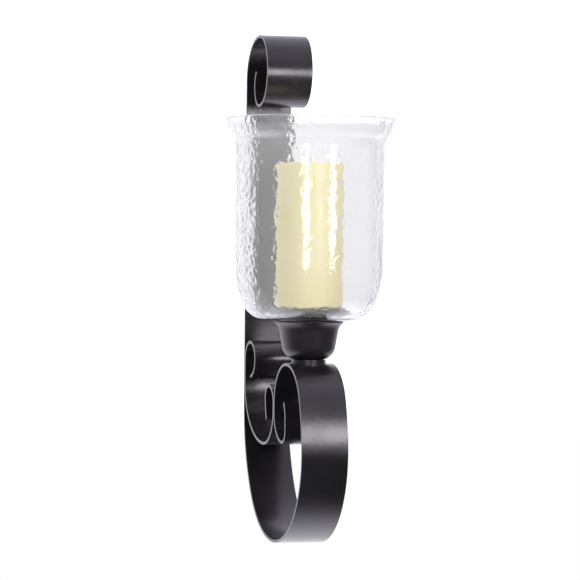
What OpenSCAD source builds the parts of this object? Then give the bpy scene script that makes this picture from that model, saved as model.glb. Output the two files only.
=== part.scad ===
// Wall sconce candle holder in bent flat bar, with a hurricane glass and a pillar candle.
// Units are millimetres. +Z is up, +Y points into the wall and the front faces -Y.
// The origin is the centre of the keyhole's round hole, on the face that lies on the wall.

/* [Flat bar] */
// Width of the flat bar
strip_w = 50; // [30:1:70]
// Thickness of the flat bar
strip_t = 3; // [2:0.5:5]

/* [Hanging keyhole] */
// Diameter of the round hole that passes the wall screw's head
keyhole_d = 10; // [7:0.5:14]
// Width of the slot above the round hole
keyhole_slot_w = 5; // [3:0.5:7]
// Height of the slot's end centre above the round hole's centre
keyhole_slot_h = 10; // [7:0.5:16]

/* [Wall run] */
// Height of the top scroll's start above the keyhole
wall_run_up = 18; // [14:1:60]
// Drop from the keyhole to the bottom loop's start
wall_run_down = 329.5; // [250:1:400]

/* [Top scroll] */
// Bend radius from the wall run to the scroll's crown
scroll_back_r = 47; // [30:0.5:70]
// Bend radius at the scroll's crown and underside
scroll_cap_r = 29; // [20:0.5:45]
// Bend radius of the scroll's flatter front
scroll_face_r = 45; // [25:0.5:80]
// Bend radius where the bar turns inside the scroll
scroll_turn_r = 15; // [10:0.5:25]
// Bend radius of the scroll's free end
scroll_end_r = 25; // [12:0.5:40]

/* [Bottom loop] */
// Bend radius just under the wall run
loop_back_r = 170; // [100:1:220]
// Bend radius around the loop's foot
loop_foot_r = 102; // [70:1:150]
// Bend radius from the loop's foot to its front
loop_rise_r = 95; // [60:1:140]
// Bend radius of the loop's flatter front
loop_front_r = 162; // [120:1:240]
// Bend radius at the front of the arch that carries the cup
arch_front_r = 52; // [35:0.5:70]
// Bend radius at the back of the arch that carries the cup
arch_back_r = 41; // [30:0.5:60]
// Length of the flat where the bar is riveted to the C-scroll
inner_lap = 10; // [9:0.5:16]
// Bend radius where the bar runs down from that flat
inner_back_r = 31; // [20:0.5:60]
// Bend radius at the foot of the inward scroll
inner_foot_r = 12; // [8:0.5:20]
// Bend radius of the inward scroll's free end
inner_end_r = 30; // [20:1:60]
// Length of the inward scroll's straight
inner_straight = 12; // [5:1:25]

/* [C-scroll] */
// Drop from the keyhole to the lower end of the C-scroll's flat
c_drop = 305; // [220:1:360]
// Length of the C-scroll's flat, which lies on the wall run
c_flat = 24; // [18:1:40]
// Bend radius of the top curl
c_curl_r = 18.5; // [12:0.5:30]
// Bend radius under the flat
c_back_r = 60; // [40:1:90]
// Bend radius around the C-scroll's foot
c_foot_r = 78; // [50:1:110]
// Length of the straight that meets the inward scroll
c_front_straight = 9; // [8:1:20]
// Bend radius at the front of the small curl
c_small_front_r = 17.5; // [10:0.5:25]
// Bend radius at the back of the small curl
c_small_back_r = 12; // [8:0.5:20]
// Bend radius of the small curl's free end
c_end_r = 60; // [30:1:90]

/* [Rivets] */
// Shank diameter of the rivets
rivet_d = 5; // [3:0.5:6]
// Diameter of the rivet heads
rivet_head_d = 8; // [6:0.5:11]
// Height of the domed rivet heads
rivet_head_h = 2.4; // [1.5:0.1:3.5]
// Distance between the two rivets of a pair
rivet_pitch = 26; // [16:1:36]
// Depth of the countersunk heads on the wall side
rivet_sink = 2; // [1:0.1:2.5]

/* [Cup] */
// Outer diameter of the cup's flat floor
cup_floor_d = 25; // [24:1:50]
// Outer bend radius at the cup's floor
cup_floor_r = 15.5; // [6:0.5:20]
// Slant height of the cup's wall
cup_wall_h = 18; // [10:0.5:40]
// Outer bend radius of the cup's flared rim
cup_flare_r = 12; // [8:0.5:24]
// Thickness of the cup's sheet metal
cup_t = 1.6; // [1:0.1:3]
// Diameter of the foot between the cup and the arch
foot_d = 36; // [24:1:44]
// Height of the foot above the arch's crown
foot_h = 3.6; // [2.5:0.1:10]

/* [Cup screw] */
// Thread diameter of the cup screw
screw_d = 6; // [4:1:8]
// Diameter of the holes that the cup screw passes through
screw_hole_d = 6.6; // [4.3:0.1:9]
// Diameter of the screw's domed head
screw_head_d = 12; // [8:0.5:16]
// Height of the screw's domed head
screw_head_h = 4; // [2.5:0.1:6]
// Width of the slot in the screw's head
screw_slot_w = 1.6; // [1:0.1:2.5]
// Depth of the slot in the screw's head
screw_slot_h = 1.8; // [1:0.1:3]
// Length of screw left showing under the nut
screw_spare = 3; // [1:0.5:6]
// Diameter of the washer under the screw's head
washer_d = 18; // [12:0.5:24]
// Thickness of the washer under the screw's head
washer_t = 1.6; // [1:0.1:2.5]
// Diameter of the saddle washer under the arch
saddle_d = 16; // [12:0.5:22]
// Thickness of the saddle washer at its centre
saddle_t = 1.6; // [1.2:0.1:3]
// Outer diameter of the lock washer
lock_d = 11.8; // [8:0.1:14]
// Thickness of the lock washer
lock_t = 1.6; // [1:0.1:2.5]
// Width of the split in the lock washer
lock_split = 1; // [0.5:0.1:2]
// Width of the nut across its flats
nut_af = 10; // [7:0.5:13]
// Height of the nut
nut_h = 5; // [3:0.1:7]

/* [Hurricane glass] */
// Thickness of the glass wall
glass_t = 3; // [2:0.5:5]
// Thickness of the glass floor under the candle
glass_floor_t = 12.5; // [6:0.5:16]
// Diameter of the raised seat that the candle stands on
glass_seat_d = 76; // [72:1:84]
// Diameter of the flat underside
glass_flat_d = 85.5; // [70:1:110]
// Outer radius of the glass under the rounded corner
glass_corner_r = 30; // [16:1:40]
// Outer radius of the glass above the rounded corner
glass_side_r = 90; // [40:1:110]
// Height of the straight glass wall
glass_wall_h = 125.5; // [80:1:170]
// Outer radius where the wall turns out into the rim
glass_flare_r = 16; // [8:0.5:24]
// Outer radius where the rim turns upright again
glass_rim_r = 23; // [10:0.5:28]
// Height of the rim's upright lip
glass_lip_h = 5.6; // [3:0.1:15]
// Depth of the tapered boss that sits inside the cup
glass_boss_h = 7; // [4:0.5:9]
// Gap between the boss and the cup's rim
glass_boss_gap = 1; // [0.5:0.1:2]
// Gap between the underside and the cup's rim
glass_gap = 0.3; // [0.2:0.05:1]

/* [Candle] */
// Diameter of the pillar candle
candle_d = 71; // [50:1:90]
// Height of the pillar candle
candle_h = 152; // [75:1:180]
// Radius of the rounded edges of the candle
candle_edge_r = 2.5; // [1:0.5:6]
// Gap between the candle and the glass floor
candle_gap = 0.3; // [0.2:0.05:1]
// Diameter of the wick
wick_d = 2.4; // [1.5:0.1:4]
// Length of the wick above the wax
wick_h = 7; // [4:1:20]

/* [Hidden] */
metal_color = [0.13, 0.13, 0.14];
steel_color = [0.62, 0.63, 0.65];
glass_color = [0.85, 0.87, 0.92, 0.45];
wax_color = [0.93, 0.9, 0.76];
wick_color = [0.95, 0.93, 0.88];
fine = 160;
small_fine = 64;
bend_step = 3;
eps = 1;
half_t = strip_t / 2;
hex_sides = 6;

// A place on a path is [reach, height, heading]. Heading 0 leads away from the wall, 90 leads up.
// A leg is [straight length, bend radius, bend angle]. The angle is 0 on a straight.
wall_up = 90;
wall_down = -90;
outward = 0;

// The path after one leg, or after part of it.
function after(p, leg, part = 1) =
  leg[2] == 0
    ? [p[0] + leg[0] * part * cos(p[2]), p[1] + leg[0] * part * sin(p[2]), p[2]]
    : let (s = sign(leg[2]) * leg[1], h = p[2] + leg[2] * part)
      [p[0] + s * (sin(h) - sin(p[2])), p[1] - s * (cos(h) - cos(p[2])), h];

// The path after the first n legs.
function after_legs(p, legs, n, i = 0) = i >= n ? p : after_legs(after(p, legs[i]), legs, n, i + 1);

// The places along one leg, without its start.
function places(p, leg) =
  let (n = leg[2] == 0 ? 1 : max(1, ceil(abs(leg[2]) / bend_step)))
  [for (k = [1:n]) after(p, leg, k / n)];

// The places along all the legs, with the start.
function path(p, legs) =
  concat([p], [for (i = [0:len(legs) - 1]) each places(after_legs(p, legs, i), legs[i])]);

// The same path walked the other way, and a list in reverse order.
function reversed(v) = [for (i = [len(v) - 1:-1:0]) v[i]];
function turned_round(v) = [for (p = reversed(v)) [p[0], p[1], p[2] + 180]];

// The line that lies a distance to the left of a path.
function beside(v, left) = [for (p = v) [p[0] - left * sin(p[2]), p[1] + left * cos(p[2])]];

// The closed outline of a band between two distances from a path.
function band(v, left, right) = concat(beside(v, left), reversed(beside(v, right)));

// Main band
scroll_start = [half_t, wall_run_up, wall_up];
scroll_legs = [
  [0, scroll_back_r, -90],
  [0, scroll_cap_r, -60],
  [0, scroll_face_r, -60],
  [0, scroll_cap_r, -60],
  [0, scroll_turn_r, -55],
  [0, scroll_end_r, -75]
];
loop_start = [half_t, -wall_run_down, wall_down];
loop_lean = 20.7;
inner_sweep = 82;
loop_legs = [
  [0, loop_back_r, 35],
  [0, loop_foot_r, 85],
  [0, loop_rise_r, 60],
  [0, loop_front_r, loop_lean],
  [0, arch_front_r, 90 - loop_lean],
  [0, arch_back_r, 90],
  [inner_lap, 0, 0],
  [0, inner_back_r, inner_sweep],
  [0, inner_foot_r, 180 - inner_sweep],
  [inner_straight, 0, 0],
  [0, inner_end_r, 25],
  [inner_straight / 2, 0, 0]
];
main_path = concat(turned_round(path(scroll_start, scroll_legs)), path(loop_start, loop_legs));
crown = after_legs(loop_start, loop_legs, 5);
inner_back = after_legs(loop_start, loop_legs, 6);
arch_path = concat(path(after_legs(loop_start, loop_legs, 4), [loop_legs[4]]),
                   path(crown, [loop_legs[5]]));

// C-scroll
c_reach = strip_t + half_t;
c_up_start = [c_reach, c_flat - c_drop, wall_up];
c_down_start = [c_reach, -c_drop, wall_down];
c_up_legs = [[0, c_curl_r, -265]];
c_low_legs = [[0, c_back_r, 50], [0, c_foot_r, 40]];
c_foot = after_legs(c_down_start, c_low_legs, 2);
c_front_reach = inner_back[0] - strip_t;
c_front_r = c_front_reach - c_foot[0];
c_down_legs = [
  c_low_legs[0],
  c_low_legs[1],
  [0, c_front_r, 90],
  [c_front_straight, 0, 0],
  [0, c_small_front_r, 90],
  [0, c_small_back_r, 90],
  [0, c_end_r, 23]
];
c_path = concat(turned_round(path(c_up_start, c_up_legs)), path(c_down_start, c_down_legs));

// Rivets
wall_rivet_z = c_flat / 2 - c_drop;
front_rivet_z = inner_back[1] - inner_lap / 2;
front_grip = 2 * strip_t;
front_lap = inner_back[0] + half_t;

// Cup and foot
cup_reach = crown[0];
arch_top = crown[1] + half_t;
arch_under = crown[1] - half_t;
cup_base = arch_top + foot_h;
cup_lean = 10;
cup_splay = 60;
cup_legs = [
  [cup_floor_d / 2, 0, 0],
  [0, cup_floor_r, 90 - cup_lean],
  [cup_wall_h, 0, 0],
  [0, cup_flare_r, cup_lean - cup_splay]
];
cup_path = path([0, cup_base, outward], cup_legs);
cup_rim = after_legs([0, cup_base, outward], cup_legs, 4);
cup_inner_rim = beside([cup_rim], cup_t)[0];
foot_sides = arch_top - foot_d / 2;

// Cup screw
washer_base = cup_base + cup_t;
head_base = washer_base + washer_t;
saddle_base = arch_under - saddle_t;
lock_base = saddle_base - lock_t;
nut_base = lock_base - nut_h;
screw_tip = nut_base - screw_spare;
nut_chamfer_angle = 30;

// Hurricane glass
glass_lean = 0.4;
glass_corner_sweep = 65;
glass_flare_sweep = 42;
glass_seat_r = glass_seat_d / 2;
glass_base = cup_inner_rim[1] + glass_gap;
glass_legs = [
  [glass_flat_d / 2, 0, 0],
  [0, glass_corner_r, glass_corner_sweep],
  [0, glass_side_r, 90 - glass_corner_sweep - glass_lean],
  [glass_wall_h, 0, 0],
  [0, glass_flare_r, glass_lean - glass_flare_sweep],
  [0, glass_rim_r, glass_flare_sweep],
  [glass_lip_h, 0, 0]
];
glass_path = path([0, glass_base, outward], glass_legs);
glass_outer = beside(glass_path, 0);
glass_floor = glass_base + glass_floor_t;
glass_inner = concat(
  [[0, glass_floor], [glass_seat_r, glass_floor]],
  [for (p = beside(glass_path, glass_t)) if (p[0] > glass_seat_r)
    [p[0], max(p[1], glass_floor + glass_seat_r - p[0])]]
);
boss_r = cup_inner_rim[0] - glass_boss_gap;
boss_outline = [[0, glass_base - glass_boss_h], [boss_r - glass_boss_h, glass_base - glass_boss_h],
                [boss_r, glass_base]];

// Candle
candle_base = glass_floor + candle_gap;
candle_start = [0, candle_base, outward];
candle_flat = candle_d / 2 - candle_edge_r;
candle_legs = [
  [candle_flat, 0, 0],
  [0, candle_edge_r, 90],
  [candle_h - 2 * candle_edge_r, 0, 0],
  [0, candle_edge_r, 90],
  [candle_flat, 0, 0]
];

// Stands the plane of bending upright, centred on the width of the bar.
module upright(width) {
  rotate([90, 0, -90]) translate([0, 0, -width / 2]) linear_extrude(width) children();
}

// Moves a part to the axis that the cup, the glass and the candle share.
module on_cup_axis() {
  translate([0, -cup_reach, 0]) children();
}

// A cylinder that runs away from the wall.
module bore_out(d, from, to) {
  translate([0, -from, 0]) rotate([90, 0, 0]) cylinder(h = to - from, d = d, $fn = small_fine);
}

// Puts its children at both rivets of a pair.
module rivet_pair(height) {
  for (side = [-1, 1]) translate([side * rivet_pitch / 2, 0, height]) children();
}

// A domed head on the plane z = 0.
module dome(d, h) {
  ball_r = (d * d / 4 + h * h) / (2 * h);
  intersection() {
    translate([0, 0, h - ball_r]) sphere(r = ball_r, $fn = small_fine);
    cylinder(h = h, d = d, $fn = small_fine);
  }
}

// The countersunk head on the wall side, with its shank up to a grip length.
module sunk_shank(to) {
  rotate([90, 0, 0]) {
    cylinder(h = rivet_sink, d1 = rivet_head_d, d2 = rivet_d, $fn = small_fine);
    cylinder(h = to, d = rivet_d, $fn = small_fine);
  }
}

// The holes for the wall rivets, sunk on the wall side.
module wall_rivet_holes() {
  rivet_pair(wall_rivet_z) {
    bore_out(rivet_d, -eps, c_reach + strip_t);
    rotate([90, 0, 0]) cylinder(h = rivet_sink, d1 = rivet_head_d, d2 = rivet_d, $fn = small_fine);
  }
}

// The holes for the front rivets.
module front_rivet_holes() {
  rivet_pair(front_rivet_z) bore_out(rivet_d, c_front_reach - strip_t, front_lap + half_t);
}

// The hole for the cup screw.
module cup_screw_hole() {
  on_cup_axis() translate([0, 0, screw_tip])
    cylinder(h = head_base - screw_tip, d = screw_hole_d, $fn = small_fine);
}

// The keyhole: a round hole with a slot above it.
module keyhole() {
  bore_out(keyhole_d, -eps, strip_t + eps);
  translate([0, 0, keyhole_slot_h]) bore_out(keyhole_slot_w, -eps, strip_t + eps);
  translate([-keyhole_slot_w / 2, -strip_t - eps, 0])
    cube([keyhole_slot_w, strip_t + 2 * eps, keyhole_slot_h]);
}

// The space under the arch, up to a distance above the bar's centreline.
module under_arch(above) {
  floor_z = arch_under - arch_back_r;
  upright(strip_w + 2 * eps)
    polygon(concat(
      [for (p = beside(arch_path, -above)) if (p[1] > floor_z) p],
      [[cup_reach - arch_back_r, floor_z], [cup_reach + arch_back_r, floor_z]]
    ));
}

module main_band() {
  color(metal_color) difference() {
    upright(strip_w) polygon(band(main_path, half_t, -half_t));
    keyhole();
    wall_rivet_holes();
    front_rivet_holes();
    cup_screw_hole();
  }
}

module c_scroll() {
  color(metal_color) difference() {
    upright(strip_w) polygon(band(c_path, half_t, -half_t));
    wall_rivet_holes();
    front_rivet_holes();
  }
}

module wall_rivets() {
  color(metal_color) rivet_pair(wall_rivet_z) {
    sunk_shank(2 * strip_t);
    translate([0, -2 * strip_t, 0]) rotate([90, 0, 0]) dome(rivet_head_d, rivet_head_h);
  }
}

module front_rivets() {
  color(metal_color) rivet_pair(front_rivet_z) {
    bore_out(rivet_d, front_lap - front_grip, front_lap);
    translate([0, -front_lap, 0]) rotate([90, 0, 0]) dome(rivet_head_d, rivet_head_h);
    translate([0, front_grip - front_lap, 0]) rotate([-90, 0, 0]) dome(rivet_head_d, rivet_head_h);
  }
}

module cup() {
  color(metal_color) on_cup_axis() difference() {
    rotate_extrude($fn = fine) polygon(band(cup_path, cup_t, 0));
    translate([0, 0, cup_base - eps]) cylinder(h = cup_t + 2 * eps, d = screw_hole_d, $fn = small_fine);
  }
}

module cup_foot() {
  color(metal_color) difference() {
    on_cup_axis() translate([0, 0, foot_sides]) cylinder(h = cup_base - foot_sides, d = foot_d, $fn = fine);
    under_arch(half_t);
    cup_screw_hole();
  }
}

module cup_screw() {
  color(steel_color) on_cup_axis() difference() {
    union() {
      translate([0, 0, screw_tip]) cylinder(h = head_base - screw_tip, d = screw_d, $fn = small_fine);
      translate([0, 0, head_base]) dome(screw_head_d, screw_head_h);
    }
    translate([-screw_head_d / 2, -screw_slot_w / 2, head_base + screw_head_h - screw_slot_h])
      cube([screw_head_d, screw_slot_w, screw_head_h]);
  }
}

module screw_washer() {
  color(steel_color) on_cup_axis() translate([0, 0, washer_base]) difference() {
    cylinder(h = washer_t, d = washer_d, $fn = small_fine);
    translate([0, 0, -eps]) cylinder(h = washer_t + 2 * eps, d = screw_hole_d, $fn = small_fine);
  }
}

module saddle_washer() {
  color(steel_color) intersection() {
    on_cup_axis() translate([0, 0, saddle_base]) difference() {
      cylinder(h = saddle_t, d = saddle_d, $fn = small_fine);
      translate([0, 0, -eps]) cylinder(h = saddle_t + 2 * eps, d = screw_hole_d, $fn = small_fine);
    }
    under_arch(-half_t);
  }
}

module lock_washer() {
  color(steel_color) on_cup_axis() translate([0, 0, lock_base]) difference() {
    cylinder(h = lock_t, d = lock_d, $fn = small_fine);
    translate([0, 0, -eps]) cylinder(h = lock_t + 2 * eps, d = screw_hole_d, $fn = small_fine);
    translate([-lock_split / 2, 0, -eps]) cube([lock_split, lock_d, lock_t + 2 * eps]);
  }
}

module cup_nut() {
  nut_ac = nut_af / cos(180 / hex_sides);
  color(steel_color) on_cup_axis() translate([0, 0, nut_base]) difference() {
    intersection() {
      cylinder(h = nut_h, d = nut_ac, $fn = hex_sides);
      cylinder(h = nut_h, d1 = nut_af, d2 = nut_af + 2 * nut_h / tan(nut_chamfer_angle), $fn = small_fine);
    }
    translate([0, 0, -eps]) cylinder(h = nut_h + 2 * eps, d = screw_d, $fn = small_fine);
  }
}

module hurricane_glass() {
  color(glass_color) on_cup_axis() rotate_extrude($fn = fine)
    polygon(concat(boss_outline, [for (p = glass_outer) if (p[0] > boss_r) p], reversed(glass_inner)));
}

module candle_wax() {
  color(wax_color) on_cup_axis() difference() {
    rotate_extrude($fn = fine) polygon(beside(path(candle_start, candle_legs), 0));
    translate([0, 0, candle_base - eps]) cylinder(h = candle_h + 2 * eps, d = wick_d, $fn = small_fine);
  }
}

module wick() {
  color(wick_color) on_cup_axis() translate([0, 0, candle_base])
    cylinder(h = candle_h + wick_h, d = wick_d, $fn = small_fine);
}

main_band();
c_scroll();
wall_rivets();
front_rivets();
cup();
cup_foot();
cup_screw();
screw_washer();
saddle_washer();
lock_washer();
cup_nut();
hurricane_glass();
candle_wax();
wick();
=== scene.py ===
"""Wall sconce candle holder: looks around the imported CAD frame."""
import itertools
import math

import bpy
import numpy as np
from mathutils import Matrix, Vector


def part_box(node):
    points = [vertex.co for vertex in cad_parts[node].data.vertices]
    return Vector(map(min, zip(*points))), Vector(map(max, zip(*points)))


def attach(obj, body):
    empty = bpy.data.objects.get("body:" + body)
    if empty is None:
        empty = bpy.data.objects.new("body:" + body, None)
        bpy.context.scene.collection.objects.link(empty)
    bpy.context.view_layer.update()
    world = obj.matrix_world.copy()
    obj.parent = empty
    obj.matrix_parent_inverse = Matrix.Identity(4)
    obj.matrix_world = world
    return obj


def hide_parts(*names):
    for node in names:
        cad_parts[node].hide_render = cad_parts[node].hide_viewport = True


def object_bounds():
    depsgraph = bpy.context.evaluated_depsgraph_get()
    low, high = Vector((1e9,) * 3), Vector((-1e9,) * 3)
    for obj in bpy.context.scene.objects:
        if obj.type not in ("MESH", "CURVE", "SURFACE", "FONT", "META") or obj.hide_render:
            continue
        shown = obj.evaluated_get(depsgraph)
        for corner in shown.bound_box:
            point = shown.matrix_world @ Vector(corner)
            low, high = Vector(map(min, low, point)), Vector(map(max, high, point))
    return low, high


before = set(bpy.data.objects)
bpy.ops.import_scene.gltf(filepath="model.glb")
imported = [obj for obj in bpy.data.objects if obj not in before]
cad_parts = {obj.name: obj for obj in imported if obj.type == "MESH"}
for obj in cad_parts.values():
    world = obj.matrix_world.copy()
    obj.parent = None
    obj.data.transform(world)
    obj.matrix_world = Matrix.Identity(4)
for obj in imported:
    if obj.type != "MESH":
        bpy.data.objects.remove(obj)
cad_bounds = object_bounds()

MM = 0.001
SAME_PLACE = 0.01 * MM


# ---------------------------------------------------------------- node helpers
class Nodes:
    """Short calls for building a node material or a node world."""

    def __init__(self, owner, output="ShaderNodeOutputMaterial"):
        owner.use_nodes = True
        self.tree = owner.node_tree
        self.tree.nodes.clear()
        self.out = self.add(output)

    def add(self, kind, **settings):
        node = self.tree.nodes.new(kind)
        for key, value in settings.items():
            setattr(node, key, value)
        return node

    def link(self, source, target):
        self.tree.links.new(source, target)

    def shader(self, kind, **values):
        """A node whose inputs are set by name, with _ for a space."""
        node = self.add(kind)
        for key, value in values.items():
            node.inputs[key.replace("_", " ")].default_value = value
        return node

    def coords(self, scale=(1, 1, 1)):
        place = self.add("ShaderNodeTexCoord")
        mapping = self.shader("ShaderNodeMapping", Scale=scale)
        self.link(place.outputs["Object"], mapping.inputs["Vector"])
        return mapping.outputs["Vector"]

    def split(self, vector):
        """The X, Y and Z of a vector."""
        node = self.add("ShaderNodeSeparateXYZ")
        self.link(vector, node.inputs["Vector"])
        return node.outputs

    def noise(self, vector, scale, detail=4.0, roughness=0.55):
        """Cloudy noise. At a scale of 700 a metre holds about 700 of its blobs."""
        node = self.shader("ShaderNodeTexNoise", Scale=scale, Detail=detail, Roughness=roughness)
        self.link(vector, node.inputs["Vector"])
        return node.outputs["Fac"]

    def ramp(self, value, start, end):
        """Carries a value from one range to another and holds it at that range's ends."""
        node = self.shader("ShaderNodeMapRange", From_Min=start[0], From_Max=start[1],
                           To_Min=end[0], To_Max=end[1])
        self.link(value, node.inputs["Value"])
        return node.outputs["Result"]

    def maths(self, operation, a, b=0.0):
        node = self.add("ShaderNodeMath", operation=operation)
        for socket, value in zip(node.inputs, (a, b)):
            if isinstance(value, (int, float)):
                socket.default_value = value
            else:
                self.link(value, socket)
        return node.outputs["Value"]

    def colours(self, value, stops):
        """A colour ramp through (place, colour) stops."""
        node = self.add("ShaderNodeValToRGB")
        ramp = node.color_ramp
        while len(ramp.elements) < len(stops):
            ramp.elements.new(1.0)
        for element, (place, colour) in zip(ramp.elements, stops):
            element.position = place
            element.color = (*colour, 1)
        self.link(value, node.inputs["Fac"])
        return node.outputs["Color"]

    def bump(self, height, strength, distance, under=None):
        node = self.shader("ShaderNodeBump", Strength=strength, Distance=distance)
        self.link(height, node.inputs["Height"])
        if under is not None:
            self.link(under, node.inputs["Normal"])
        return node.outputs["Normal"]

    def blend(self, share, a, b):
        """Mixes two colours. Sockets 0, 6, 7 and 2 are a mix node's share, two colours and result."""
        node = self.add("ShaderNodeMix", data_type="RGBA")
        for socket, source in ((0, share), (6, a), (7, b)):
            self.link(source, node.inputs[socket])
        return node.outputs[2]

    def either(self, share, a, b):
        """Mixes two shaders."""
        node = self.add("ShaderNodeMixShader")
        for socket, source in zip(node.inputs, (share, a, b)):
            self.link(source, socket)
        return node.outputs["Shader"]

    def finish(self, surface):
        self.link(surface, self.out.inputs["Surface"])


def tinted(tone, tint):
    return tuple(tone * k for k in tint)


# ---------------------------------------------------------------- materials
def satin_black(name, tone=0.013, rough=(0.22, 0.27), grain=1.0):
    """Satin black paint: orange peel, brush lines along the bar, cloudy gloss and small specks."""
    mat = bpy.data.materials.new(name)
    n = Nodes(mat)
    here = n.coords()
    lengthways = n.coords((950.0, 45.0, 45.0))
    peel = n.noise(here, scale=700.0, detail=2.0)
    cloud = n.noise(here, scale=30.0, detail=5.0)
    lines = n.noise(lengthways, scale=1.0, detail=2.0)
    wobble = n.noise(here, scale=120.0, detail=2.0)
    cells = n.shader("ShaderNodeTexVoronoi", Scale=260.0)
    n.link(here, cells.inputs["Vector"])
    chance = n.add("ShaderNodeSeparateColor")
    n.link(cells.outputs["Color"], chance.inputs["Color"])
    dots = n.ramp(cells.outputs["Distance"], (0.03, 0.09), (1.0, 0.0))
    one_in_five = n.maths("GREATER_THAN", chance.outputs["Red"], 0.8)
    specks = n.maths("MULTIPLY", dots, one_in_five)
    shader = n.shader("ShaderNodeBsdfPrincipled", IOR=1.55, Specular_Tint=(0.93, 0.895, 1.0, 1))
    dark = tinted(tone, (0.8, 0.74, 0.86))
    pale = tinted(tone, (1.25, 1.17, 1.36))
    n.link(n.colours(cloud, ((0.35, dark), (0.65, pale))), shader.inputs["Base Color"])
    n.link(n.ramp(cloud, (0.3, 0.7), rough), shader.inputs["Roughness"])
    normal = n.bump(wobble, strength=0.8, distance=0.1 * MM)
    normal = n.bump(peel, strength=0.10 * grain, distance=0.1 * MM, under=normal)
    normal = n.bump(lines, strength=0.16 * grain, distance=0.1 * MM, under=normal)
    normal = n.bump(specks, strength=0.35 * grain, distance=0.12 * MM, under=normal)
    n.link(normal, shader.inputs["Normal"])
    n.finish(shader.outputs["BSDF"])
    return mat


def zinc(name):
    """Zinc-plated steel hardware."""
    mat = bpy.data.materials.new(name)
    n = Nodes(mat)
    cloud = n.noise(n.coords(), scale=260.0)
    dark = (0.42, 0.44, 0.48)
    pale = (0.62, 0.64, 0.68)
    shader = n.shader("ShaderNodeBsdfPrincipled", Metallic=1.0)
    n.link(n.colours(cloud, ((0.3, dark), (0.7, pale))), shader.inputs["Base Color"])
    n.link(n.ramp(cloud, (0.3, 0.7), (0.24, 0.42)), shader.inputs["Roughness"])
    n.link(n.bump(cloud, strength=0.15, distance=0.1 * MM), shader.inputs["Normal"])
    n.finish(shader.outputs["BSDF"])
    return mat


GLASS_TINT = (0.848, 0.858, 0.848)
# Painted shade: the glass within the cup's rim gets this near-black colour and no transmission, standing in
# for the shade of the cup around it.
PAINTED_SHADE_TINT = (0.01, 0.01, 0.011)
SMEAR_ROUGHNESS = 0.03
BASE_ROUGHNESS = 0.04
BASE_CLEARNESS = 0.99
WALL_CLEARNESS = 0.905


def outside_cup(n, here, height):
    """0 on the part of the glass that sits within the cup's rim, and 1 on the rest."""
    low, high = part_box("hurricane_glass")
    _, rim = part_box("cup")
    axis = n.add("ShaderNodeCombineXYZ")
    axis.inputs["Y"].default_value = (low.y + high.y) / 2
    n.link(height, axis.inputs["Z"])
    radius = n.add("ShaderNodeVectorMath", operation="DISTANCE")
    n.link(here, radius.inputs[0])
    n.link(axis.outputs["Vector"], radius.inputs[1])
    above = n.ramp(height, (rim.z + 0.5 * MM, rim.z + 0.7 * MM), (0.0, 1.0))
    beyond = n.ramp(radius.outputs["Value"], (rim.x - 0.5 * MM, rim.x), (0.0, 1.0))
    return n.maths("MAXIMUM", above, beyond)


def clear_glass(name):
    """Clear glass with faint smears and a duller base, painted opaque near-black as painted shade where it
    sits within the cup's rim. Lamps shine through it.
    """
    mat = bpy.data.materials.new(name)
    n = Nodes(mat)
    here = n.coords()
    height = n.split(here)["Z"]
    underside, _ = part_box("hurricane_glass")
    foot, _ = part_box("candle_wax")
    smears = n.ramp(n.noise(here, scale=60.0, detail=3.0), (0.35, 0.7), (0.0, SMEAR_ROUGHNESS))
    base = n.ramp(height, (underside.z + 16 * MM, underside.z + 30 * MM), (BASE_ROUGHNESS, 0.0))
    clearness = n.ramp(height, (foot.z - 1 * MM, foot.z + 8 * MM), (BASE_CLEARNESS, WALL_CLEARNESS))
    clear = outside_cup(n, here, height)
    fine = n.bump(n.noise(here, scale=420.0, detail=2.0), strength=0.5, distance=0.1 * MM)
    ripple = n.bump(n.noise(here, scale=230.0, detail=1.0), strength=1.0, distance=0.22 * MM, under=fine)
    shader = n.shader("ShaderNodeBsdfPrincipled", IOR=1.46)
    # Painted shade: where clear is 0, within the cup's rim, the glass is near-black and lets no light
    # through.
    n.link(n.colours(clear, ((0.0, PAINTED_SHADE_TINT), (1.0, GLASS_TINT))), shader.inputs["Base Color"])
    n.link(n.maths("MULTIPLY", clear, clearness), shader.inputs["Transmission Weight"])
    n.link(n.maths("ADD", smears, base), shader.inputs["Roughness"])
    n.link(ripple, shader.inputs["Normal"])
    through = n.shader("ShaderNodeBsdfTransparent", Color=(0.985, 0.985, 0.985, 1))
    path = n.add("ShaderNodeLightPath")
    n.finish(n.either(path.outputs["Is Shadow Ray"], shader.outputs["BSDF"], through.outputs["BSDF"]))
    depth = n.shader("ShaderNodeVolumeAbsorption", Color=(0.2, 0.2, 0.22, 1), Density=9.0)
    n.link(depth.outputs["Volume"], n.out.inputs["Volume"])
    return mat


def wax(name):
    """Cream pillar-candle wax, slightly translucent with faint mottling."""
    mat = bpy.data.materials.new(name)
    n = Nodes(mat)
    here = n.coords()
    cloud = n.noise(here, scale=24.0, detail=5.0)
    fine = n.noise(here, scale=420.0, detail=3.0)
    dark = (0.87, 0.775, 0.45)
    pale = (0.905, 0.83, 0.52)
    shader = n.shader("ShaderNodeBsdfPrincipled", Subsurface_Weight=0.3, Subsurface_Scale=0.6,
                      Subsurface_Radius=(0.012, 0.009, 0.005), IOR=1.44)
    n.link(n.colours(cloud, ((0.3, dark), (0.7, pale))), shader.inputs["Base Color"])
    n.link(n.ramp(cloud, (0.3, 0.7), (0.26, 0.36)), shader.inputs["Roughness"])
    n.link(n.bump(fine, strength=0.12, distance=0.1 * MM), shader.inputs["Normal"])
    n.finish(shader.outputs["BSDF"])
    return mat


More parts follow.
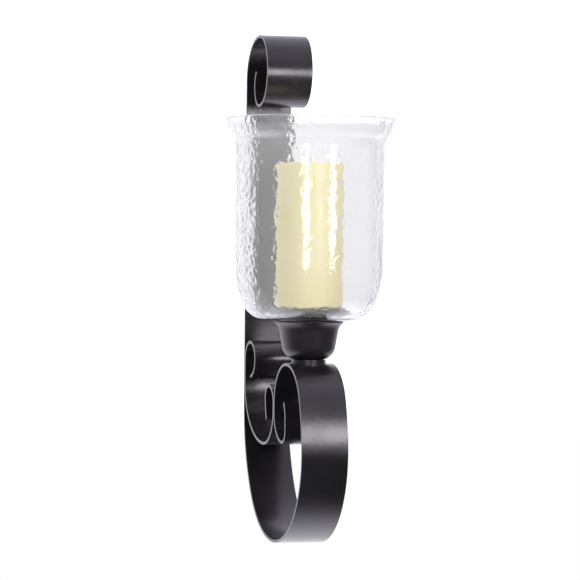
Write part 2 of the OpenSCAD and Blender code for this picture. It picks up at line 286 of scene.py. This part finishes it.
def cotton(name):
    """Off-white braided cotton."""
    mat = bpy.data.materials.new(name)
    n = Nodes(mat)
    fuzz = n.noise(n.coords(), scale=1800.0, detail=3.0)
    dark = (0.66, 0.62, 0.52)
    pale = (0.84, 0.81, 0.72)
    shader = n.shader("ShaderNodeBsdfPrincipled", Roughness=0.85, Sheen_Weight=0.3)
    n.link(n.colours(fuzz, ((0.3, dark), (0.7, pale))), shader.inputs["Base Color"])
    n.link(n.bump(fuzz, strength=0.5, distance=0.2 * MM), shader.inputs["Normal"])
    n.finish(shader.outputs["BSDF"])
    return mat


# ---------------------------------------------------------------- CAD nodes that stay
def dress(node, material, edge):
    """Gives a CAD node its material and softly rounded edges."""
    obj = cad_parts[node]
    obj.data.materials.clear()
    obj.data.materials.append(material)
    weld = obj.modifiers.new("weld", "WELD")
    weld.merge_threshold = SAME_PLACE
    flat = obj.modifiers.new("flat", "DECIMATE")
    flat.decimate_type = "DISSOLVE"
    flat.angle_limit = math.radians(0.3)
    bevel = obj.modifiers.new("bevel", "BEVEL")
    bevel.width = edge
    bevel.segments = 3
    bevel.limit_method = "ANGLE"
    bevel.angle_limit = math.radians(40)
    normals = obj.modifiers.new("normals", "WEIGHTED_NORMAL")
    normals.mode = "FACE_AREA"
    normals.weight = 90
    obj.data.shade_smooth()


black = satin_black("satin_black_bar")
gloss = satin_black("semi_gloss_black_cup", tone=0.017, rough=(0.34, 0.40), grain=0.5)
steel = zinc("zinc_steel")
for node in ("main_band", "c_scroll"):
    dress(node, black, edge=0.4 * MM)
for node in ("wall_rivets", "front_rivets"):
    dress(node, black, edge=0.2 * MM)
dress("cup", gloss, edge=0.5 * MM)
dress("cup_foot", gloss, edge=0.4 * MM)
for node in ("cup_screw", "screw_washer", "saddle_washer", "lock_washer", "cup_nut"):
    dress(node, steel, edge=0.2 * MM)


# ---------------------------------------------------------------- turned pieces
cup_low, cup_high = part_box("cup")
AXIS = (cup_low + cup_high) / 2
SEAM_SLACK = 0.002 * MM


def make_piece(name, points, faces, material, body, node):
    """A smooth mesh that rides on a body and stands for a CAD node."""
    mesh = bpy.data.meshes.new(name)
    mesh.from_pydata(points, [], faces)
    mesh.validate()
    mesh.shade_smooth()
    mesh.materials.append(material)
    obj = bpy.data.objects.new(name, mesh)
    bpy.context.scene.collection.objects.link(obj)
    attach(obj, body)
    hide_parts(node)


def cad_profile(node):
    """The radius and height of a turned CAD node's section, walked from its underside to its inside."""
    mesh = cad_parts[node].data
    here = np.array([v.co for v in mesh.vertices])
    on_seam = (np.abs(here[:, 1] - AXIS.y) < SEAM_SLACK) & (here[:, 0] > 0)
    places = {}
    steps = {}
    for edge in mesh.edges:
        if not all(on_seam[index] for index in edge.vertices):
            continue
        keys = []
        for index in edge.vertices:
            key = (round(here[index, 0] / SAME_PLACE), round(here[index, 2] / SAME_PLACE))
            places[key] = (here[index, 0], here[index, 2])
            keys.append(key)
        if keys[0] != keys[1]:
            steps.setdefault(keys[0], set()).add(keys[1])
            steps.setdefault(keys[1], set()).add(keys[0])
    ends = [key for key, near in steps.items() if len(near) == 1]
    walk = [min(ends, key=lambda key: places[key][1])]
    seen = set(walk)
    while True:
        onward = [key for key in steps[walk[-1]] if key not in seen]
        if not onward:
            break
        walk.append(onward[0])
        seen.add(onward[0])
    section = [places[key] for key in walk]
    return np.array([(0, section[0][1])] + section + [(0, section[-1][1])])


def arc_length(line):
    steps = np.hypot(*np.diff(line, axis=0).T)
    return np.concatenate([[0], np.cumsum(steps)])


def resampled(line, count):
    at = arc_length(line)
    new = np.linspace(0, at[-1], count)
    return np.c_[np.interp(new, at, line[:, 0]), np.interp(new, at, line[:, 1])]


def soften(line, reach, where=slice(None)):
    """Rounds the corners of an evenly sampled line over a reach, with its two ends held."""
    spacing = arc_length(line)[-1] / (len(line) - 1)
    passes = int(2 * (reach / spacing) ** 2)
    for _ in range(passes):
        smooth = (line[:-2] + 2 * line[1:-1] + line[2:]) / 4
        line[1:-1][where] = smooth[where]


def spaced(line, widest, turn):
    """Places points along a line no wider than a spacing, and closer where the line turns."""
    at = arc_length(line)
    heading = np.unwrap(np.arctan2(*np.diff(line, axis=0).T[::-1]))
    bend = np.abs(np.diff(heading, prepend=heading[0]))
    cost = np.concatenate([[0], np.cumsum(np.maximum(np.diff(at) / widest, bend / turn))])
    new = np.interp(np.linspace(0, cost[-1], int(cost[-1]) + 2), cost, at)
    return np.c_[np.interp(new, at, line[:, 0]), np.interp(new, at, line[:, 1])]


def turned(section, segments):
    """Points and faces of a section turned about the axis. The section starts and ends on it."""
    rings = section[1:-1]
    angles = np.linspace(0, 2 * math.pi, segments, endpoint=False)
    x = AXIS.x + rings[:, :1] * np.cos(angles)
    y = AXIS.y + rings[:, :1] * np.sin(angles)
    z = np.repeat(rings[:, 1:], segments, axis=1)
    points = np.stack([x, y, z], axis=-1).reshape(-1, 3)
    ends = np.array([(AXIS.x, AXIS.y, section[0, 1]), (AXIS.x, AXIS.y, section[-1, 1])])
    points = np.concatenate([points, ends])
    ring = np.arange(segments)
    after = (ring + 1) % segments
    faces = []
    for i in range(len(rings) - 1):
        a = i * segments
        b = a + segments
        faces += np.c_[a + ring, a + after, b + after, b + ring].tolist()
    first = len(rings) * segments
    last = (len(rings) - 1) * segments
    faces += np.c_[np.full(segments, first), after, ring].tolist()
    faces += np.c_[np.full(segments, first + 1), last + ring, last + after].tolist()
    return points, faces


def from_axis(body):
    """Each point's offset from the axis along X and Y, and its distance from the axis."""
    offset = body[:, :2] - np.array(AXIS[:2])
    return offset, np.hypot(*offset.T)


def scattered(cells, salt):
    """A repeatable number from 0 to 1 for each whole-number cell, from an integer hash."""
    x, y, z = np.moveaxis(cells, -1, 0)
    mixed = x * 73856093 ^ y * 19349663 ^ z * 83492791 ^ salt * 2654435
    mixed = mixed & 0xFFFFFFFF
    mixed = (mixed ^ (mixed >> 15)) * 2246822519 & 0xFFFFFFFF
    mixed = (mixed ^ (mixed >> 13)) * 3266489917 & 0xFFFFFFFF
    return (mixed ^ (mixed >> 16)) / 0xFFFFFFFF


def swell(points, size, salt):
    """Smooth waves from 0 to 1 between random values at the corners of a grid."""
    place = points / size
    base = np.floor(place).astype(np.int64)
    part = place - base
    part = part * part * (3 - 2 * part)
    total = np.zeros(len(points))
    for corner in itertools.product((0, 1), repeat=3):
        weight = np.prod(np.where(np.array(corner) == 1, part, 1 - part), axis=1)
        total += weight * scattered(base + np.array(corner), salt)
    return total


# The glass's section is sampled finely while it is smoothed, and then more widely for its mesh.
GLASS_SAMPLES = 2400
GLASS_SPACING = 1.4 * MM
GLASS_TURN = math.radians(12)
GLASS_SEGMENTS = 384
LIP_REACH = 0.7 * MM
SEAT_REACH = 2.8 * MM
SEAT_SURROUND = 14 * MM
DISH_DEPTH = 2.2 * MM
DISH_RADIUS = 34 * MM

# Depths are for the outside and the inside of the wall. Two marks meet at about MARK_MEETING of
# their size from their middles, and further out than MARK_LIMIT times that nothing changes. The
# middle of a mark is MARK_MIDDLE depths deep.
MARK_DEPTHS = (0.19 * MM, 0.09 * MM)
MARK_SIZE = 4.9 * MM
MARK_SHARPNESS = 12.0
MARK_MEETING = 0.75
MARK_LIMIT = 1.3
MARK_MIDDLE = 1.3
WAVE_DEPTHS = (0.28 * MM, 0.18 * MM)
WAVE_SIZE = (16 * MM, 16 * MM, 34 * MM)

# There are no marks or waves in the lowest millimetres, and they are fainter at the rim.
PLAIN_BASE = 6 * MM
BASE_FADE = 12 * MM
RIM_FADE = 9 * MM
RIM_SHARE = 0.25


def hammer_marks(points):
    """0 in the middle of each hammer mark and about 1 where two marks meet."""
    place = points / MARK_SIZE
    base = np.floor(place).astype(np.int64)
    total = np.zeros(len(points))
    for step in itertools.product((-1, 0, 1), repeat=3):
        cell = base + np.array(step)
        centre = cell + np.stack([scattered(cell, salt) for salt in (1, 2, 3)], axis=-1)
        total += np.exp(-MARK_SHARPNESS * np.linalg.norm(centre - place, axis=1))
    near = -np.log(total) / MARK_SHARPNESS
    return np.clip(near / MARK_MEETING, 0, MARK_LIMIT) ** 2


def shape_seat(section):
    """Rounds the edge of the candle's seat and the groove around it, and dishes the seat's top."""
    radius, height = section.T
    inside = np.arange(len(section)) > height.argmax()
    groove = inside & (height < height[-1] + SEAT_SURROUND) & (radius > DISH_RADIUS)
    soften(section, SEAT_REACH, groove[1:-1])
    across = np.clip(radius / DISH_RADIUS, 0, 1)
    height -= np.where(inside, DISH_DEPTH * (1 - across ** 2), 0)


def on_rings(values):
    """Gives each point of the turned glass the value of its place in the section."""
    return np.repeat(values[1:-1], GLASS_SEGMENTS, axis=0)


def hammered_glass():
    """The hurricane glass with a fire-polished lip and shallow hammer marks in its walls."""
    section = resampled(cad_profile("hurricane_glass"), GLASS_SAMPLES)
    soften(section, LIP_REACH)
    shape_seat(section)
    section = spaced(section, GLASS_SPACING, GLASS_TURN)
    points, faces = turned(section, GLASS_SEGMENTS)
    height = section[:, 1]
    outside = np.arange(len(section)) < height.argmax()
    share = np.clip((height - height.min() - PLAIN_BASE) / BASE_FADE, 0, 1)
    share *= np.clip((height.max() - height) / RIM_FADE, RIM_SHARE, 1)
    marks = on_rings(np.where(outside, *MARK_DEPTHS) * share)
    waves = on_rings(np.where(outside, *WAVE_DEPTHS) * share)
    along = np.gradient(section, axis=0)
    outward = np.c_[along[:, 1], -along[:, 0]]
    outward /= np.linalg.norm(outward, axis=1)[:, None]
    side = on_rings(outward)
    body = points[:-2]
    depth = marks * (MARK_MIDDLE - hammer_marks(body)) + waves * swell(body, WAVE_SIZE, salt=7)
    offset, radius = from_axis(body)
    body[:, :2] -= (depth * side[:, 0])[:, None] * offset / radius[:, None]
    body[:, 2] -= depth * side[:, 1]
    make_piece("hammered_hurricane_glass", points, faces, clear_glass("clear_hammered_glass"),
               "glass", "hurricane_glass")


CANDLE_SEGMENTS = 200
CANDLE_EDGE = 2.5 * MM
CANDLE_HOLLOW = 0.8 * MM
BROAD_RIPPLE = 0.22 * MM
BROAD_SIZE = (19 * MM, 19 * MM, 30 * MM)
FINE_RIPPLE = 0.07 * MM
FINE_SIZE = (5 * MM, 5 * MM, 9 * MM)
CALM_MIDDLE = 5 * MM
UNDER_POINTS = 14
EDGE_POINTS = 9
SIDE_POINTS = 110
TOP_POINTS = 30


def pillar_candle():
    """The pillar candle: soft edges, a slightly hollow top and faint ripples from its mould."""
    low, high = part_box("candle_wax")
    radius = (high.x - low.x) / 2
    flat = radius - CANDLE_EDGE
    foot = low.z + CANDLE_EDGE
    head = high.z - CANDLE_EDGE
    bend = np.linspace(0, math.pi / 2, EDGE_POINTS)
    out = np.linspace(0, flat, UNDER_POINTS)[:-1]
    up = np.linspace(foot, head, SIDE_POINTS)[1:-1]
    across = np.linspace(flat, 0, TOP_POINTS)[1:]
    section = np.concatenate([
        np.c_[out, np.full(len(out), low.z)],
        np.c_[flat + CANDLE_EDGE * np.sin(bend), foot - CANDLE_EDGE * np.cos(bend)],
        np.c_[np.full(len(up), radius), up],
        np.c_[flat + CANDLE_EDGE * np.cos(bend), head + CANDLE_EDGE * np.sin(bend)],
        np.c_[across, high.z - CANDLE_HOLLOW * (1 - (across / flat) ** 2) ** 2],
    ])
    points, faces = turned(section, CANDLE_SEGMENTS)
    body = points[:-2]
    offset, radius_here = from_axis(body)
    ripple = BROAD_RIPPLE * swell(body, BROAD_SIZE, salt=11) + FINE_RIPPLE * swell(body, FINE_SIZE, salt=12)
    pull = 1 - ripple / np.maximum(radius_here, CALM_MIDDLE)
    body[:, :2] = np.array(AXIS[:2]) + offset * pull[:, None]
    make_piece("pillar_candle", points, faces, wax("cream_candle_wax"),
               "candle", "candle_wax")


def braided_wick():
    """Three cotton strands braided round each other."""
    low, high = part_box("wick")
    strand = 0.5 * MM
    swing = 0.66 * MM
    cross = 0.33 * MM
    braid = 4.2 * MM
    step = 0.35 * MM
    sides = 8
    heights = np.arange(low.z, high.z - strand / 2, step)
    round_it = np.linspace(0, 2 * math.pi, sides, endpoint=False)
    points = []
    faces = []
    for third in range(3):
        turn = 2 * math.pi * (heights / braid + third / 3)
        x = AXIS.x + swing * np.sin(turn)
        y = AXIS.y + cross * np.sin(2 * turn)
        start = len(points)
        for cx, cy, z in zip(x, y, heights):
            points += [(cx + strand * math.cos(a), cy + strand * math.sin(a), z) for a in round_it]
        for i in range(len(heights) - 1):
            for k in range(sides):
                a = start + i * sides + k
                b = start + i * sides + (k + 1) % sides
                faces.append((a, b, b + sides, a + sides))
        faces.append(tuple(start + k for k in reversed(range(sides))))
        faces.append(tuple(start + (len(heights) - 1) * sides + k for k in range(sides)))
    make_piece("braided_wick", points, faces, cotton("wick_cotton"), "candle", "wick")


hammered_glass()
pillar_candle()
braided_wick()


# ---------------------------------------------------------------- stage
FLOOR_GAP = 0.12
FLOOR_RADIUS = 6.0
FLOOR_SIDES = 96


def stage_floor():
    """A plain white floor. It shows in the picture, and the world lights the object from below."""
    low, _ = cad_bounds
    angles = np.linspace(0, 2 * math.pi, FLOOR_SIDES, endpoint=False)
    rim = [(FLOOR_RADIUS * math.cos(a), FLOOR_RADIUS * math.sin(a), 0) for a in angles]
    mesh = bpy.data.meshes.new("floor")
    mesh.from_pydata(rim, [], [tuple(range(len(rim)))])
    floor = bpy.data.objects.new("floor", mesh)
    floor.location = (0, AXIS.y, low.z - FLOOR_GAP)
    floor.visible_diffuse = False
    floor.visible_glossy = False
    floor.visible_transmission = False
    floor.visible_shadow = False
    bpy.context.scene.collection.objects.link(floor)
    mat = bpy.data.materials.new("pale_floor")
    n = Nodes(mat)
    glow = n.shader("ShaderNodeEmission", Color=(1, 1, 1, 1), Strength=1.0)
    n.finish(glow.outputs["Emission"])
    mesh.materials.append(mat)


# Brightness of the studio round the object, by the angle in the upright plane square to the wall:
# 0 is level in front, 90 straight up, 180 level behind and 270 straight down.
STUDIO = ((0, 0.14), (12, 0.35), (30, 0.95), (55, 1.1), (85, 1.6), (120, 1.6), (150, 1.5), (180, 1.5),
          (215, 1.8), (245, 2.3), (262, 2.0), (273, 1.3), (283, 0.7), (292, 0.25), (300, 0.12), (360, 0.12))

# The two sides have their own brightness, from in front of the wall to behind it.
SIDE_FRONT = 0.14
SIDE_BACK = 1.15

# The levels are stored as shares of this one, so that a colour ramp's values stay below 1.
STUDIO_PEAK = 2.6

# The light is nearly plain below the first of these angles and above the second, and a little
# more violet between them.
PLAIN_BELOW = 40
PLAIN_ABOVE = 290
PLAIN = (1.0, 0.98, 1.01)
VIOLET = (1.0, 0.975, 1.06)
SEEN_STRENGTH = 1.5


def studio_world():
    """White in plain sight and through the glass. Light and gloss come from the studio's angles."""
    world = bpy.data.worlds.new("studio")
    bpy.context.scene.world = world
    n = Nodes(world, "ShaderNodeOutputWorld")
    direction = n.add("ShaderNodeTexCoord")
    x, y, z = n.split(direction.outputs["Generated"])
    angle = n.maths("ARCTAN2", z, n.maths("MULTIPLY", y, -1.0))
    part = n.maths("FRACT", n.maths("ADD", n.maths("DIVIDE", angle, 2 * math.pi), 1.0))
    stops = []
    for degrees, level in STUDIO:
        tint = PLAIN if degrees < PLAIN_BELOW or degrees > PLAIN_ABOVE else VIOLET
        stops.append((degrees / 360, tinted(level / STUDIO_PEAK, tint)))
    sides = ((0.0, tinted(SIDE_FRONT / STUDIO_PEAK, VIOLET)), (1.0, tinted(SIDE_BACK / STUDIO_PEAK, VIOLET)))
    sideways = n.ramp(n.maths("ABSOLUTE", x), (0.6, 0.85), (0.0, 1.0))
    behind = n.ramp(y, (0.15, 0.5), (0.0, 1.0))
    lit = n.shader("ShaderNodeBackground", Strength=STUDIO_PEAK)
    n.link(n.blend(sideways, n.colours(part, stops), n.colours(behind, sides)), lit.inputs["Color"])
    seen = n.shader("ShaderNodeBackground", Color=(*VIOLET, 1), Strength=SEEN_STRENGTH)
    # A ray is in plain sight if it has only left the camera or passed through glass.
    path = n.add("ShaderNodeLightPath")
    bounced = n.maths("ADD", path.outputs["Diffuse Depth"], path.outputs["Glossy Depth"])
    looking = n.maths("MAXIMUM", path.outputs["Is Camera Ray"], path.outputs["Is Transmission Ray"])
    direct = n.maths("MULTIPLY", looking, n.maths("LESS_THAN", bounced, 0.5))
    n.finish(n.either(direct, lit.outputs["Background"], seen.outputs["Background"]))


# The camera's height: it is 206 mm below the keyhole.
HORIZON = -0.206
LAMP_REACH = 1.5
LAMP_COLOUR = (1.0, 0.99, 0.95)


def softbox(name, azimuth, bottom, top, radiance, width):
    """An upright soft lamp. Azimuth 0 is in front, and bottom and top are up from the camera's height."""
    data = bpy.data.lights.new(name, "AREA")
    data.shape = "RECTANGLE"
    data.size = width
    data.size_y = top - bottom
    data.energy = radiance * math.pi * data.size * data.size_y
    data.color = LAMP_COLOUR
    light = bpy.data.objects.new(name, data)
    a = math.radians(azimuth)
    height = HORIZON + (top + bottom) / 2
    light.location = (LAMP_REACH * math.sin(a), AXIS.y - LAMP_REACH * math.cos(a), height)
    light.rotation_euler = (math.radians(90), 0, a)
    bpy.context.scene.collection.objects.link(light)


CAMERA_AZIMUTH = -17.0
CAMERA_ROLL = -0.5
CAMERA_REACH = 3.855
LOOK_AT = Vector((0, -0.095, HORIZON))


def camera():
    """Level, from the left of straight in front, with the object slightly right of the middle."""
    data = bpy.data.cameras.new("camera")
    data.lens = 225.7
    data.sensor_width = 36
    data.clip_end = 50
    data.shift_x = -0.004
    cam = bpy.data.objects.new("camera", data)
    azimuth = math.radians(CAMERA_AZIMUTH)
    away = Vector((math.sin(azimuth), -math.cos(azimuth), 0))
    cam.location = LOOK_AT + away * CAMERA_REACH
    cam.rotation_euler = (math.radians(90), math.radians(CAMERA_ROLL), azimuth)
    bpy.context.scene.collection.objects.link(cam)
    bpy.context.scene.camera = cam


stage_floor()
studio_world()
softbox("key", azimuth=17.5, bottom=-0.02, top=0.33, radiance=28, width=0.15)
softbox("camera_side_low", azimuth=-23.0, bottom=-0.02, top=0.095, radiance=26, width=0.15)
softbox("camera_side_high", azimuth=-23.0, bottom=0.14, top=0.33, radiance=26, width=0.15)
softbox("front_strip", azimuth=-1.5, bottom=0.084, top=0.17, radiance=6, width=0.05)
camera()
bpy.context.scene.view_settings.view_transform = "Standard"
